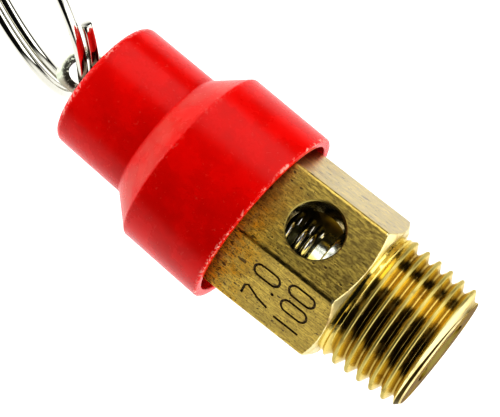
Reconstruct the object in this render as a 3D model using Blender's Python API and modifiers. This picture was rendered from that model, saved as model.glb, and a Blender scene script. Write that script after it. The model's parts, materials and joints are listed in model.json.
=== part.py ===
"""Pressure relief valve: hex brass body with a tapered inlet thread, spring-loaded disc, cap and pull ring.

+Z runs up the valve axis from the inlet to the pull ring. The origin is the centre of the shoulder plane
under the hex, and a flat with a vent hole faces -Y. Sizes are in millimetres times MM.
"""

import math

import bmesh
import bpy
from mathutils import Matrix, Vector

MM = 0.001
CLEARANCE = 0.1 * MM  # between faces that rest on each other

# Hex body, from 14 mm drawn bar
HEX_ACROSS_FLATS = 13.9 * MM
HEX_CORNER_RADIUS = 0.4 * MM
HEX_TOP = 20.9 * MM
HEX_TOP_FACE_RADIUS = 6.75 * MM
SHOULDER_FACE_RADIUS = 6.9 * MM
SHOULDER_CHAMFER = math.radians(30)

# Taper thread R 1/4: major diameter 13.157 mm at the gauge plane, 1 in 16 on diameter
THREAD_END = -8.9 * MM
GAUGE_LENGTH = 6.0 * MM
GAUGE_RADIUS = 13.157 / 2 * MM
TAPER_ON_RADIUS = 1 / 32
THREAD_LEAD_CHAMFER = 0.7 * MM
NECK_RADIUS = 5.85 * MM
NECK_LENGTH = 0.7 * MM

# Inside of the body
INLET_BORE_RADIUS = 2.75 * MM
INLET_CHAMFER = 0.4 * MM
SEAT_TOP = 2.4 * MM
SEAT_LIP_RADIUS = 3.15 * MM
SEAT_FOOT_RADIUS = 3.5 * MM
CHAMBER_FLOOR = 1.7 * MM
CHAMBER_RADIUS = 4.5 * MM
TAPPED_BORE_RADIUS = 4.9 * MM
TAPPED_BORE_FLOOR = 15.3 * MM
VENT_RADIUS = 2.68 * MM
VENT_HEIGHT = 5.85 * MM
VENT_OFFSET = 0.2 * MM  # the drill ran a little off the middle of the flat

# Disc, seal and the riveted foot of the stem
RIVET_HOLE_RADIUS = 0.95 * MM
SEAL_BOTTOM = SEAT_TOP + CLEARANCE
SEAL_THICKNESS = 0.8 * MM
SEAL_RADIUS = 3.6 * MM
SEAL_WASHER_RADIUS = 2.2 * MM
SEAL_WASHER_THICKNESS = 0.5 * MM
DISC_FLANGE_RADIUS = 3.9 * MM
DISC_FLANGE_THICKNESS = 0.95 * MM
DISC_COLLAR_RADIUS = 2.55 * MM
DISC_COLLAR_TOP = 5.6 * MM
DISC_BOSS_RADIUS = 1.6 * MM
DISC_BOSS_TOP = 6.8 * MM

# Spring
SPRING_MEAN_RADIUS = 2.25 * MM
SPRING_WIRE_RADIUS = 0.4 * MM
SPRING_END_PITCH = 0.9 * MM
SPRING_ACTIVE_TURNS = 5
SPRING_START_ANGLE = math.radians(-129)
SPRING_WASHER_BOTTOM = 15.1 * MM
SPRING_WASHER_THICKNESS = 0.6 * MM
SPRING_WASHER_RADIUS = 3.6 * MM

# Plugs in the tapped bore
PLUG_RADIUS = 4.6 * MM
PLUG_CHAMFER = 0.3 * MM
ADJUSTING_PLUG_TOP = 18.3 * MM
LOCKING_PLUG_TOP = 20.5 * MM
SCREWDRIVER_SLOT_WIDTH = 1.2 * MM
SCREWDRIVER_SLOT_DEPTH = 0.9 * MM
GUIDE_HOLE_RADIUS = 1.55 * MM

# Stem, forged flat into an eye at the top
STEM_RADIUS = 1.25 * MM
STEM_FOOT_RADIUS = 0.85 * MM
STEM_RIVET_RADIUS = 1.4 * MM
STEM_RIVET_HEIGHT = 0.5 * MM
STEM_TURN = math.radians(8)
EYE_HEIGHT = 32.85 * MM
EYE_OFFSET = 0.35 * MM  # the forging pushed the eye a little to one side
EYE_HALF_WIDTH = 2.4 * MM
EYE_TOP = 35.1 * MM
EYE_CORNER_RADIUS = 1.5 * MM
EYE_THICKNESS = 1.3 * MM
EYE_HOLE_RADIUS = 1.5 * MM
EYE_SHOULDER_BOTTOM = 27.9 * MM
EYE_SHOULDER_TOP = 32.2 * MM

# Split ring: two turns of round wire side by side
RING_MEAN_RADIUS = 11.9 * MM
RING_WIRE_RADIUS = 0.525 * MM
RING_TURN_SPACING = 1.22 * MM
RING_LEAN = math.radians(18)
RING_SEAT = 0.6 * MM  # how far under the middle of the eye hole the two turns lie
RING_FIRST_END = math.radians(34)  # arcs from the eye round the -Y side
RING_CROSSING_LOW = math.radians(76)
RING_CROSSING_HIGH = math.radians(112)
RING_SECOND_END = math.radians(119)
RING_END_SPRING = 0.12 * MM  # how far the first end stands off sideways

# Cap, sitting a little crooked on the hex
CAP_PIVOT_HEIGHT = 16.5 * MM
CAP_LEAN = math.radians(2.7)
CAP_WALL = 0.9 * MM
CAP_MOUTH = 11.16 * MM
CAP_MOUTH_RADIUS = 9.3 * MM
CAP_SKIRT_TOP = 19.92 * MM
CAP_SKIRT_TOP_RADIUS = 9.24 * MM
CAP_NECK_BOTTOM = 22.83 * MM
CAP_NECK_RADIUS = 6.7 * MM
CAP_TOP = 31.0 * MM
CAP_TOP_RADIUS = 6.62 * MM
CAP_TOP_FILLET = 0.8 * MM
CAP_TOP_THICKNESS = 1.2 * MM
CAP_HOLE_RADIUS = 3.4 * MM
CAP_EDGE_FILLET = 0.3 * MM

ROUND_STEPS = 64
SMALL_STEPS = 40
CUT_LENGTH = 30 * MM
SHARP_ANGLE = math.radians(32)


# ---------------------------------------------------------------- scene and materials


def new_collection(name):
    collection = bpy.data.collections.new(name)
    bpy.context.scene.collection.children.link(collection)
    return collection


def new_material(name, colour, roughness, metallic):
    material = bpy.data.materials.new(name)
    material.use_nodes = True
    shader = material.node_tree.nodes["Principled BSDF"]
    shader.inputs["Base Color"].default_value = (*colour, 1)
    shader.inputs["Roughness"].default_value = roughness
    shader.inputs["Metallic"].default_value = metallic
    material.diffuse_color = (*colour, 1)
    return material


def new_object(name, data, collection, material=None):
    obj = bpy.data.objects.new(name, data)
    collection.objects.link(obj)
    if material:
        data.materials.append(material)
    return obj


def new_axis(name, collection, parent=None, location=(0, 0, 0), rotation=(0, 0, 0)):
    """An empty on a joint's axis, which the moving pieces are parented to."""
    axis = new_object(name, None, collection)
    axis.empty_display_size = 5 * MM
    axis.parent = parent
    axis.location = location
    axis.rotation_euler = rotation
    return axis


def hide_cutter(obj):
    obj.hide_render = True
    obj.display_type = "WIRE"
    return obj


# ---------------------------------------------------------------- shapes


def arc(centre, radius, start, end, segments):
    """Points of an arc in the profile plane, as (r, z)."""
    step = (end - start) / segments
    angles = [math.radians(start + step * i) for i in range(segments + 1)]
    return [(centre[0] + radius * math.cos(a), centre[1] + radius * math.sin(a)) for a in angles]


def turned(name, profile, collection, material=None, steps=ROUND_STEPS, closed=True):
    """A body of revolution about Z from a profile that runs down its outer side."""
    shape = bmesh.new()
    points = [shape.verts.new((r, 0, z)) for r, z in profile]
    for a, b in zip(points, points[1:]):
        shape.edges.new((a, b))
    if closed:
        shape.edges.new((points[-1], points[0]))
    mesh = bpy.data.meshes.new(name)
    shape.to_mesh(mesh)
    shape.free()
    obj = new_object(name, mesh, collection, material)
    screw = obj.modifiers.new("turn", "SCREW")
    screw.axis = "Z"
    screw.steps = steps
    screw.render_steps = steps
    screw.use_merge_vertices = True
    screw.merge_threshold = 1e-6
    screw.use_smooth_shade = False
    return obj


def extruded(name, outline, thickness, matrix, collection):
    """A flat outline given a thickness, as a closed mesh placed by matrix."""
    curve = bpy.data.curves.new(name, "CURVE")
    curve.dimensions = "2D"
    curve.fill_mode = "BOTH"
    curve.extrude = thickness / 2
    spline = curve.splines.new("POLY")
    spline.points.add(len(outline) - 1)
    for point, (x, y) in zip(spline.points, outline):
        point.co = (x, y, 0, 1)
    spline.use_cyclic_u = True
    flat = new_object(name + "_outline", curve, collection)
    bpy.context.view_layer.update()
    evaluated = flat.evaluated_get(bpy.context.evaluated_depsgraph_get())
    mesh = bpy.data.meshes.new_from_object(evaluated)
    bpy.data.objects.remove(flat)
    shape = bmesh.new()
    shape.from_mesh(mesh)
    bmesh.ops.remove_doubles(shape, verts=shape.verts, dist=1e-7)
    bmesh.ops.recalc_face_normals(shape, faces=shape.faces)
    shape.to_mesh(mesh)
    shape.free()
    mesh.name = name
    obj = new_object(name, mesh, collection)
    obj.matrix_world = matrix
    return obj


def cylinder(name, radius, length, matrix, collection, steps=SMALL_STEPS):
    shape = bmesh.new()
    bmesh.ops.create_cone(
        shape, cap_ends=True, segments=steps, radius1=radius, radius2=radius, depth=length
    )
    mesh = bpy.data.meshes.new(name)
    shape.to_mesh(mesh)
    shape.free()
    obj = new_object(name, mesh, collection)
    obj.matrix_world = matrix
    return obj


def wire(name, points, radius, sides, collection, material):
    """A round wire along points, as a closed tube with flat ends."""
    curve = bpy.data.curves.new(name, "CURVE")
    curve.dimensions = "3D"
    curve.bevel_depth = radius
    curve.bevel_resolution = sides
    curve.use_fill_caps = True
    spline = curve.splines.new("POLY")
    spline.points.add(len(points) - 1)
    for point, co in zip(spline.points, points):
        point.co = (*co, 1)
    return new_object(name, curve, collection, material)


def add_boolean(obj, operation, other):
    boolean = obj.modifiers.new(f"{operation.lower()} {other.name}", "BOOLEAN")
    boolean.operation = operation
    boolean.object = other
    boolean.solver = "EXACT"
    hide_cutter(other)


def finish(obj):
    """Applies the modifiers, welds a wire's end caps, and shades the round faces smooth."""
    bpy.context.view_layer.update()
    evaluated = obj.evaluated_get(bpy.context.evaluated_depsgraph_get())
    mesh = bpy.data.meshes.new_from_object(evaluated)
    name = obj.name
    if obj.type == "CURVE":
        shape = bmesh.new()
        shape.from_mesh(mesh)
        bmesh.ops.remove_doubles(shape, verts=shape.verts, dist=1e-7)
        shape.to_mesh(mesh)
        shape.free()
        solid = bpy.data.objects.new(name, mesh)
        obj.users_collection[0].objects.link(solid)
        solid.parent = obj.parent
        bpy.data.objects.remove(obj)
        solid.name = name
    else:
        obj.modifiers.clear()
        obj.data = mesh
    mesh.name = name
    mesh.shade_smooth()
    mesh.set_sharp_from_angle(angle=SHARP_ANGLE)


# ---------------------------------------------------------------- body


def hex_prism(collection, material):
    """The hex bar, flats towards -Y and +Y, with its long edges slightly rounded."""
    corner_radius = HEX_ACROSS_FLATS / math.sqrt(3)
    shape = bmesh.new()
    bmesh.ops.create_cone(
        shape, cap_ends=True, segments=6, radius1=corner_radius, radius2=corner_radius, depth=HEX_TOP
    )
    shape.verts.ensure_lookup_table()
    corner_angle = math.atan2(shape.verts[0].co.y, shape.verts[0].co.x)
    bmesh.ops.rotate(shape, verts=shape.verts, matrix=Matrix.Rotation(-corner_angle, 3, "Z"))
    bmesh.ops.translate(shape, verts=shape.verts, vec=(0, 0, HEX_TOP / 2))
    long_edges = [e for e in shape.edges if abs(e.verts[0].co.z - e.verts[1].co.z) > HEX_TOP / 2]
    bmesh.ops.bevel(
        shape,
        geom=long_edges,
        offset=HEX_CORNER_RADIUS * math.tan(math.radians(30)),
        offset_type="OFFSET",
        segments=3,
        profile=0.5,
        affect="EDGES",
        material=-1,
    )
    mesh = bpy.data.meshes.new("valve_body")
    shape.to_mesh(mesh)
    shape.free()
    return new_object("valve_body", mesh, collection, material)


def hex_envelope(cutters):
    """What the lathe leaves of the bar: chamfered corners above and below."""
    reach = HEX_ACROSS_FLATS / math.sqrt(3) + 0.5 * MM
    cone_slope = (CAP_NECK_BOTTOM - CAP_SKIRT_TOP) / (CAP_SKIRT_TOP_RADIUS - CAP_NECK_RADIUS)
    profile = [
        (0, HEX_TOP),
        (HEX_TOP_FACE_RADIUS, HEX_TOP),
        (reach, HEX_TOP - (reach - HEX_TOP_FACE_RADIUS) * cone_slope),
        (reach, (reach - SHOULDER_FACE_RADIUS) * math.tan(SHOULDER_CHAMFER)),
        (SHOULDER_FACE_RADIUS, 0),
        (0, 0),
    ]
    return turned("hex_envelope", profile, cutters, closed=False)


def thread_radius(z):
    gauge_plane = THREAD_END + GAUGE_LENGTH
    return GAUGE_RADIUS + (z - gauge_plane) * TAPER_ON_RADIUS


def threaded_shank(cutters):
    """The taper thread's outside, with a neck under the shoulder and a lead-in chamfer."""
    overlap = 1 * MM
    crest_top = -NECK_LENGTH - (thread_radius(0) - NECK_RADIUS)
    chamfer_top = THREAD_END + THREAD_LEAD_CHAMFER
    profile = [
        (0, overlap),
        (NECK_RADIUS, overlap),
        (NECK_RADIUS, -NECK_LENGTH),
        (thread_radius(crest_top), crest_top),
        (thread_radius(chamfer_top), chamfer_top),
        (thread_radius(chamfer_top) - THREAD_LEAD_CHAMFER, THREAD_END),
        (0, THREAD_END),
    ]
    return turned("threaded_shank", profile, cutters, closed=False)


def body_bore(cutters):
    """Everything bored out along the axis: tapped bore, chamber round the raised seat, and inlet."""
    above = HEX_TOP + 1 * MM
    below = THREAD_END - 1 * MM
    lead_in = 0.3 * MM
    profile = [
        (0, above),
        (TAPPED_BORE_RADIUS + lead_in, above),
        (TAPPED_BORE_RADIUS + lead_in, HEX_TOP),
        (TAPPED_BORE_RADIUS, HEX_TOP - lead_in),
        (TAPPED_BORE_RADIUS, TAPPED_BORE_FLOOR),
        (CHAMBER_RADIUS, TAPPED_BORE_FLOOR - (TAPPED_BORE_RADIUS - CHAMBER_RADIUS)),
        (CHAMBER_RADIUS, CHAMBER_FLOOR),
        (SEAT_FOOT_RADIUS, CHAMBER_FLOOR),
        (SEAT_LIP_RADIUS, SEAT_TOP),
        (INLET_BORE_RADIUS, SEAT_TOP),
        (INLET_BORE_RADIUS, THREAD_END + INLET_CHAMFER),
        (INLET_BORE_RADIUS + INLET_CHAMFER + 1 * MM, below),
        (0, below),
    ]
    return turned("body_bore", profile, cutters, closed=False)


def vent_drill(cutters):
    """One drill through both walls, which leaves a vent hole in two opposite flats."""
    place = Matrix.Translation((VENT_OFFSET, 0, VENT_HEIGHT)) @ Matrix.Rotation(math.pi / 2, 4, "X")
    return cylinder("vent_drill", VENT_RADIUS, CUT_LENGTH, place, cutters)


def make_valve_body(parts, cutters):
    brass = new_material("brass", (0.62, 0.47, 0.17), 0.35, 1.0)
    body = hex_prism(parts, brass)
    add_boolean(body, "INTERSECT", hex_envelope(cutters))
    add_boolean(body, "UNION", threaded_shank(cutters))
    add_boolean(body, "DIFFERENCE", body_bore(cutters))
    add_boolean(body, "DIFFERENCE", vent_drill(cutters))
    return body


# ---------------------------------------------------------------- disc, seal and stem


def disc_flange_bottom():
    return SEAL_BOTTOM + SEAL_THICKNESS + CLEARANCE


def make_valve_disc(parts, axis):
    """The stepped disc: flange over the seal, collar that the spring stands on, boss inside the spring."""
    nickel = new_material("nickel", (0.72, 0.71, 0.66), 0.2, 1.0)
    bottom = disc_flange_bottom()
    flange_top = bottom + DISC_FLANGE_THICKNESS
    edge = 0.15 * MM
    profile = [
        (RIVET_HOLE_RADIUS, DISC_BOSS_TOP),
        (DISC_BOSS_RADIUS - edge, DISC_BOSS_TOP),
        (DISC_BOSS_RADIUS, DISC_BOSS_TOP - edge),
        (DISC_BOSS_RADIUS, DISC_COLLAR_TOP),
        (DISC_COLLAR_RADIUS - edge, DISC_COLLAR_TOP),
        (DISC_COLLAR_RADIUS, DISC_COLLAR_TOP - edge),
        (DISC_COLLAR_RADIUS, flange_top),
        (DISC_FLANGE_RADIUS - edge, flange_top),
        (DISC_FLANGE_RADIUS, flange_top - edge),
        (DISC_FLANGE_RADIUS, bottom),
        (RIVET_HOLE_RADIUS, bottom),
    ]
    disc = turned("valve_disc", profile, parts, nickel, SMALL_STEPS)
    disc.parent = axis
    return disc


def ring_profile(inner, outer, bottom, top, edge=0.0):
    return [
        (inner, top),
        (outer - edge, top),
        (outer, top - edge),
        (outer, bottom + edge),
        (outer - edge, bottom),
        (inner, bottom),
    ] if edge else [(inner, top), (outer, top), (outer, bottom), (inner, bottom)]


def make_seat_seal(parts, axis):
    rubber = new_material("seal_rubber", (0.03, 0.03, 0.03), 0.7, 0.0)
    top = SEAL_BOTTOM + SEAL_THICKNESS
    profile = ring_profile(RIVET_HOLE_RADIUS, SEAL_RADIUS, SEAL_BOTTOM, top)
    seal = turned("seat_seal", profile, parts, rubber, SMALL_STEPS)
    seal.parent = axis
    return seal


def seal_washer_bottom():
    return SEAL_BOTTOM - CLEARANCE - SEAL_WASHER_THICKNESS


def make_seal_washer(parts, axis):
    """The washer inside the seat bore that the riveted stem pulls up against the seal."""
    steel = new_material("washer_steel", (0.55, 0.55, 0.55), 0.35, 1.0)
    bottom = seal_washer_bottom()
    top = bottom + SEAL_WASHER_THICKNESS
    profile = ring_profile(RIVET_HOLE_RADIUS, SEAL_WASHER_RADIUS, bottom, top)
    washer = turned("seal_washer", profile, parts, steel, SMALL_STEPS)
    washer.parent = axis
    return washer


def eye_outline():
    """The stem's top seen along the eye hole, as (x, z): rod width, then shoulders, then the blunt eye."""
    half_rod = STEM_RADIUS * 0.96
    corner = EYE_HALF_WIDTH - EYE_CORNER_RADIUS
    corner_height = EYE_TOP - EYE_CORNER_RADIUS
    top = arc((corner, corner_height), EYE_CORNER_RADIUS, 0, 75, 8)
    top += [(-x, z) for x, z in reversed(top)]
    right = shoulder_curve(half_rod, EYE_HALF_WIDTH)
    left = [(-x, z) for x, z in reversed(right)]
    outline = right + top + left
    bottom, full = EYE_SHOULDER_BOTTOM, EYE_SHOULDER_TOP
    return [(x + EYE_OFFSET * min((z - bottom) / (full - bottom), 1), z) for x, z in outline]


def shoulder_curve(low_width, high_width, steps=6):
    """A smooth change of half width between the rod and the eye."""
    points = []
    for i in range(steps + 1):
        t = i / steps
        ease = t * t * (3 - 2 * t)
        width = low_width + (high_width - low_width) * ease
        points.append((width, EYE_SHOULDER_BOTTOM + (EYE_SHOULDER_TOP - EYE_SHOULDER_BOTTOM) * t))
    return points


def eye_side():
    """The same seen from the side, as (y, z): the rod's thickness pressed down to the eye's."""
    top = EYE_TOP + 1 * MM
    curve = shoulder_curve(STEM_RADIUS * 0.96, EYE_THICKNESS / 2)
    right = curve + [(EYE_THICKNESS / 2, top)]
    left = [(-y, z) for y, z in reversed(right)]
    return right + left


def stem_rod(parts, material):
    """The turned rod with its shoulder on the disc and its foot riveted over the washer."""
    washer_bottom = seal_washer_bottom()
    rivet_top = washer_bottom - CLEARANCE
    rivet_bottom = rivet_top - STEM_RIVET_HEIGHT
    shoulder = DISC_BOSS_TOP + CLEARANCE
    dome = arc((0, rivet_bottom + 0.25 * MM), STEM_RIVET_RADIUS, 0, -90, 5)
    flatten = 0.25 * MM / STEM_RIVET_RADIUS
    base = rivet_bottom + 0.25 * MM
    dome = [(r, base + (z - base) * flatten) for r, z in dome]
    dome[-1] = (0, dome[-1][1])
    profile = [
        (0, EYE_SHOULDER_BOTTOM + 1 * MM),
        (STEM_RADIUS, EYE_SHOULDER_BOTTOM + 1 * MM),
        (STEM_RADIUS, shoulder),
        (STEM_FOOT_RADIUS, shoulder),
        (STEM_FOOT_RADIUS, rivet_top),
        (STEM_RIVET_RADIUS, rivet_top),
    ] + dome
    return turned("lift_stem", profile, parts, material, SMALL_STEPS, closed=False)


def make_lift_stem(parts, cutters, axis):
    steel = new_material("stem_steel", (0.70, 0.70, 0.68), 0.25, 1.0)
    stem = stem_rod(parts, steel)
    stem.parent = axis
    upright = Matrix.Rotation(math.pi / 2, 4, "X")
    sideways = Matrix.Rotation(math.pi / 2, 4, "Z") @ upright
    eye = extruded("stem_eye", eye_outline(), 3 * EYE_THICKNESS, upright, cutters)
    side = extruded("stem_eye_side", eye_side(), 4 * EYE_HALF_WIDTH, sideways, cutters)
    hole_place = Matrix.Translation((EYE_OFFSET, 0, EYE_HEIGHT)) @ upright
    hole = cylinder("stem_eye_hole", EYE_HOLE_RADIUS, 4 * EYE_THICKNESS, hole_place, cutters, 32)
    for helper in (eye, side, hole):
        helper.parent = axis
    add_boolean(eye, "INTERSECT", side)
    add_boolean(stem, "UNION", eye)
    add_boolean(stem, "DIFFERENCE", hole)
    return stem


# ---------------------------------------------------------------- spring and plugs


def spring_height(turn, total_turns, bottom, active_pitch):
    """Height of the wire's middle after so many turns: a closed turn at each end, open turns between."""
    end_rise = SPRING_END_PITCH * min(turn, 1)
    open_rise = active_pitch * min(max(turn - 1, 0), SPRING_ACTIVE_TURNS)
    last_rise = SPRING_END_PITCH * max(turn - (total_turns - 1), 0)
    return bottom + end_rise + open_rise + last_rise


def make_relief_spring(parts):
    steel = new_material("spring_steel", (0.60, 0.60, 0.58), 0.2, 1.0)
    points_per_turn = 20
    bottom = DISC_COLLAR_TOP + CLEARANCE + SPRING_WIRE_RADIUS
    top = SPRING_WASHER_BOTTOM - CLEARANCE - SPRING_WIRE_RADIUS
    total_turns = SPRING_ACTIVE_TURNS + 2
    active_pitch = (top - bottom - 2 * SPRING_END_PITCH) / SPRING_ACTIVE_TURNS
    points = []
    for i in range(total_turns * points_per_turn + 1):
        turn = i / points_per_turn
        angle = SPRING_START_ANGLE + 2 * math.pi * turn
        z = spring_height(turn, total_turns, bottom, active_pitch)
        points.append((SPRING_MEAN_RADIUS * math.cos(angle), SPRING_MEAN_RADIUS * math.sin(angle), z))
    return wire("relief_spring", points, SPRING_WIRE_RADIUS, 2, parts, steel)


def make_spring_washer(parts):
    steel = new_material("spring_washer_steel", (0.55, 0.55, 0.53), 0.35, 1.0)
    top = SPRING_WASHER_BOTTOM + SPRING_WASHER_THICKNESS
    profile = ring_profile(GUIDE_HOLE_RADIUS, SPRING_WASHER_RADIUS, SPRING_WASHER_BOTTOM, top)
    return turned("spring_washer", profile, parts, steel, SMALL_STEPS)


def make_slotted_plug(name, bottom, top, parts, cutters):
    """A round plug for the tapped bore, with a guide hole for the stem and a screwdriver slot on top."""
    brass = new_material(name + "_brass", (0.66, 0.50, 0.20), 0.3, 1.0)
    profile = ring_profile(GUIDE_HOLE_RADIUS, PLUG_RADIUS, bottom, top, PLUG_CHAMFER)
    plug = turned(name, profile, parts, brass, SMALL_STEPS)
    size = (3 * PLUG_RADIUS, SCREWDRIVER_SLOT_WIDTH, 2 * SCREWDRIVER_SLOT_DEPTH)
    shape = bmesh.new()
    bmesh.ops.create_cube(shape, size=1, matrix=Matrix.Diagonal((*size, 1)))
    mesh = bpy.data.meshes.new(name + "_slot")
    shape.to_mesh(mesh)
    shape.free()
    slot = new_object(name + "_slot", mesh, cutters)
    slot.location = (0, 0, top)
    add_boolean(plug, "DIFFERENCE", slot)
    return plug


def make_plugs(parts, cutters):
    adjusting_bottom = SPRING_WASHER_BOTTOM + SPRING_WASHER_THICKNESS + CLEARANCE
    locking_bottom = ADJUSTING_PLUG_TOP + CLEARANCE
    make_slotted_plug("adjusting_plug", adjusting_bottom, ADJUSTING_PLUG_TOP, parts, cutters)
    make_slotted_plug("locking_plug", locking_bottom, LOCKING_PLUG_TOP, parts, cutters)


# ---------------------------------------------------------------- cap


def fillet(corner, before, after, radius, segments=3):
    """Points that round a profile's corner with an arc tangent to both sides."""
    corner, before, after = Vector(corner), Vector(before), Vector(after)
    to_before = (before - corner).normalized()
    to_after = (after - corner).normalized()
    half_angle = to_before.angle(to_after) / 2
    centre = corner + (to_before + to_after).normalized() * radius / math.sin(half_angle)
    reach = radius / math.tan(half_angle)
    start = corner + to_before * reach - centre
    end = corner + to_after * reach - centre
    turn = start.angle_signed(end)
    return [tuple(centre + Matrix.Rotation(-turn * i / segments, 2) @ start) for i in range(segments + 1)]


def rounded_profile(corners):
    """Profile points from corners given as (r, z, fillet radius)."""
    points = []
    count = len(corners)
    for i, (r, z, radius) in enumerate(corners):
        if radius:
            before = corners[i - 1][:2]
            after = corners[(i + 1) % count][:2]
            points += fillet((r, z), before, after, radius)
        else:
            points.append((r, z))
    return points


def make_cap(parts, axis):
    red = new_material("red_plastic", (0.78, 0.01, 0.01), 0.35, 0.0)
    ceiling = CAP_TOP - CAP_TOP_THICKNESS
    cone_drop = 0.45 * CAP_WALL  # keeps the wall's thickness through the cone
    corners = [
        (CAP_HOLE_RADIUS, CAP_TOP, 0),
        (CAP_TOP_RADIUS, CAP_TOP, CAP_TOP_FILLET),
        (CAP_NECK_RADIUS, CAP_NECK_BOTTOM, CAP_EDGE_FILLET),
        (CAP_SKIRT_TOP_RADIUS, CAP_SKIRT_TOP, CAP_EDGE_FILLET),
        (CAP_MOUTH_RADIUS, CAP_MOUTH, CAP_EDGE_FILLET),
        (CAP_MOUTH_RADIUS - CAP_WALL, CAP_MOUTH, CAP_EDGE_FILLET / 2),
        (CAP_SKIRT_TOP_RADIUS - CAP_WALL, CAP_SKIRT_TOP - cone_drop, 0),
        (CAP_NECK_RADIUS - CAP_WALL, CAP_NECK_BOTTOM - cone_drop, 0),
        (CAP_TOP_RADIUS - CAP_WALL, ceiling, 0),
        (CAP_HOLE_RADIUS, ceiling, 0),
    ]
    lowered = [(r, z - CAP_PIVOT_HEIGHT, radius) for r, z, radius in corners]
    cap = turned("cap", rounded_profile(lowered), parts, red)
    cap.parent = axis
    return cap


# ---------------------------------------------------------------- split ring


def ring_offset(angle):
    """How far the wire's middle stands off the ring's middle plane, at an arc from the eye towards -Y.

    The first turn starts at its free end, passes through the eye and runs round the +Y side on one side of
    the plane. It crosses over on its way back, and the second turn lies on the other side of the plane.
    """
    half = RING_TURN_SPACING / 2
    crossing_start = RING_CROSSING_HIGH - 2 * math.pi
    t = min(max((crossing_start - angle) / (RING_CROSSING_HIGH - RING_CROSSING_LOW), 0), 1)
    side = half - RING_TURN_SPACING * t * t * (3 - 2 * t)
    free = min(max(angle / RING_FIRST_END, 0), 1)
    return side + RING_END_SPRING * (1 - math.cos(free * math.pi / 2))


def make_split_ring(parts, axis):
    """Two turns of wire whose ends stop on either side of the place where the wire crosses over."""
    chrome = new_material("chrome", (0.80, 0.80, 0.80), 0.08, 1.0)
    points_per_turn = 56
    start = RING_FIRST_END
    end = RING_SECOND_END - 4 * math.pi
    steps = round((start - end) / (2 * math.pi) * points_per_turn)
    centre = Vector((0, 0, RING_MEAN_RADIUS - RING_SEAT))
    points = []
    for i in range(steps + 1):
        angle = start + (end - start) * i / steps
        spoke = Vector((0, math.sin(angle), math.cos(angle))) * RING_MEAN_RADIUS
        points.append(centre - spoke + Vector((ring_offset(angle), 0, 0)))
    ring = wire("split_ring", points, RING_WIRE_RADIUS, 3, parts, chrome)
    ring.parent = axis
    return ring


# ---------------------------------------------------------------- assembly


def main():
    for obj in list(bpy.data.objects):
        bpy.data.objects.remove(obj)
    parts = new_collection("pressure_relief_valve")
    cutters = new_collection("cutters")

    lift_axis = new_axis("lift_axis", parts)
    stem_axis = new_axis("stem_axis", parts, lift_axis, rotation=(0, 0, STEM_TURN))
    ring_axis = new_axis("ring_axis", parts, stem_axis, (EYE_OFFSET, 0, EYE_HEIGHT), (0, RING_LEAN, 0))
    cap_axis = new_axis("cap_axis", parts, None, (0, 0, CAP_PIVOT_HEIGHT), (0, CAP_LEAN, 0))

    make_valve_body(parts, cutters)
    make_valve_disc(parts, lift_axis)
    make_seat_seal(parts, lift_axis)
    make_seal_washer(parts, lift_axis)
    make_relief_spring(parts)
    make_spring_washer(parts)
    make_plugs(parts, cutters)
    make_lift_stem(parts, cutters, stem_axis)
    make_split_ring(parts, ring_axis)
    make_cap(parts, cap_axis)
    for piece in [obj for obj in parts.objects if obj.type != "EMPTY"]:
        finish(piece)


main()
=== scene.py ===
"""Finished surfaces of a pressure relief valve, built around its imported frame.

Lengths are in millimetres times MM. +Z runs up the valve's axis from the thread to the pull ring, z = 0 is
the shoulder under the hex, and a flat with a vent hole faces -Y.
"""

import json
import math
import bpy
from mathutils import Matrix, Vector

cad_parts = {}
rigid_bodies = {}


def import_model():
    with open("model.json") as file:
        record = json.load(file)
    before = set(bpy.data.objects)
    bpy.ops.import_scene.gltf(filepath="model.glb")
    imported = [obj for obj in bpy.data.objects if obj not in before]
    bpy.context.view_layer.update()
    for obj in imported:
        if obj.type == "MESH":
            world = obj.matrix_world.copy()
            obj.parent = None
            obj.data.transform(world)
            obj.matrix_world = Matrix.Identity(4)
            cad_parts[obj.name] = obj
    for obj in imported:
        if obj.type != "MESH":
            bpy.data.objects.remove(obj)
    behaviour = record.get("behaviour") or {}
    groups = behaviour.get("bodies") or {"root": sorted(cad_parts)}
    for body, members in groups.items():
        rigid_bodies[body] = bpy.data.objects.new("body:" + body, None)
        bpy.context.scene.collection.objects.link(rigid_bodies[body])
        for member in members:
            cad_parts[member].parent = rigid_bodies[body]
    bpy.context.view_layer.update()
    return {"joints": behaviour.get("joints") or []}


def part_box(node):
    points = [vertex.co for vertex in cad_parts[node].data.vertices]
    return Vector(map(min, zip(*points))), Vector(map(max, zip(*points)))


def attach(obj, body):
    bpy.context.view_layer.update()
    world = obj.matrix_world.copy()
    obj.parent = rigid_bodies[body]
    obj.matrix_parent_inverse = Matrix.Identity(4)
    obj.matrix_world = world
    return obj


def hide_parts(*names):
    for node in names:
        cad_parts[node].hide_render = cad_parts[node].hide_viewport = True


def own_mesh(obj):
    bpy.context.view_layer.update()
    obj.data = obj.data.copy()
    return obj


bl_info = {
    "name": "Pressure Relief Valve",
    "version": (1, 0, 0),
    "blender": (4, 5, 0),
    "location": "View3D > Sidebar > Relief Valve",
    "description": "Models the brass body, red cap, pull ring and inner parts of a small safety valve",
    "category": "Add Mesh",
}

import bmesh
import bpy
from bpy.props import FloatProperty, FloatVectorProperty, IntProperty, PointerProperty, StringProperty
from mathutils import Matrix, Vector

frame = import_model()
MM = 0.001
UP = Vector((0, 0, 1))

BODY_LOW, BODY_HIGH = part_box("valve_body")
HEX_TOP = BODY_HIGH.z
THREAD_END = BODY_LOW.z
ACROSS_FLATS = BODY_HIGH.y - BODY_LOW.y
SPRING_LOW, SPRING_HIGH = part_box("relief_spring")
JOINTS = {joint["name"]: joint for joint in frame["joints"]}
EYE_CENTRE = Vector(JOINTS["ring_swing"]["pos_m"])
CAP_PIVOT = Vector(JOINTS["cap_turn"]["pos_m"])
CAP_AXIS = Vector(JOINTS["cap_turn"]["axis"])
TAPER = 1 / 32  # how much the thread's radius grows with its height


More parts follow.
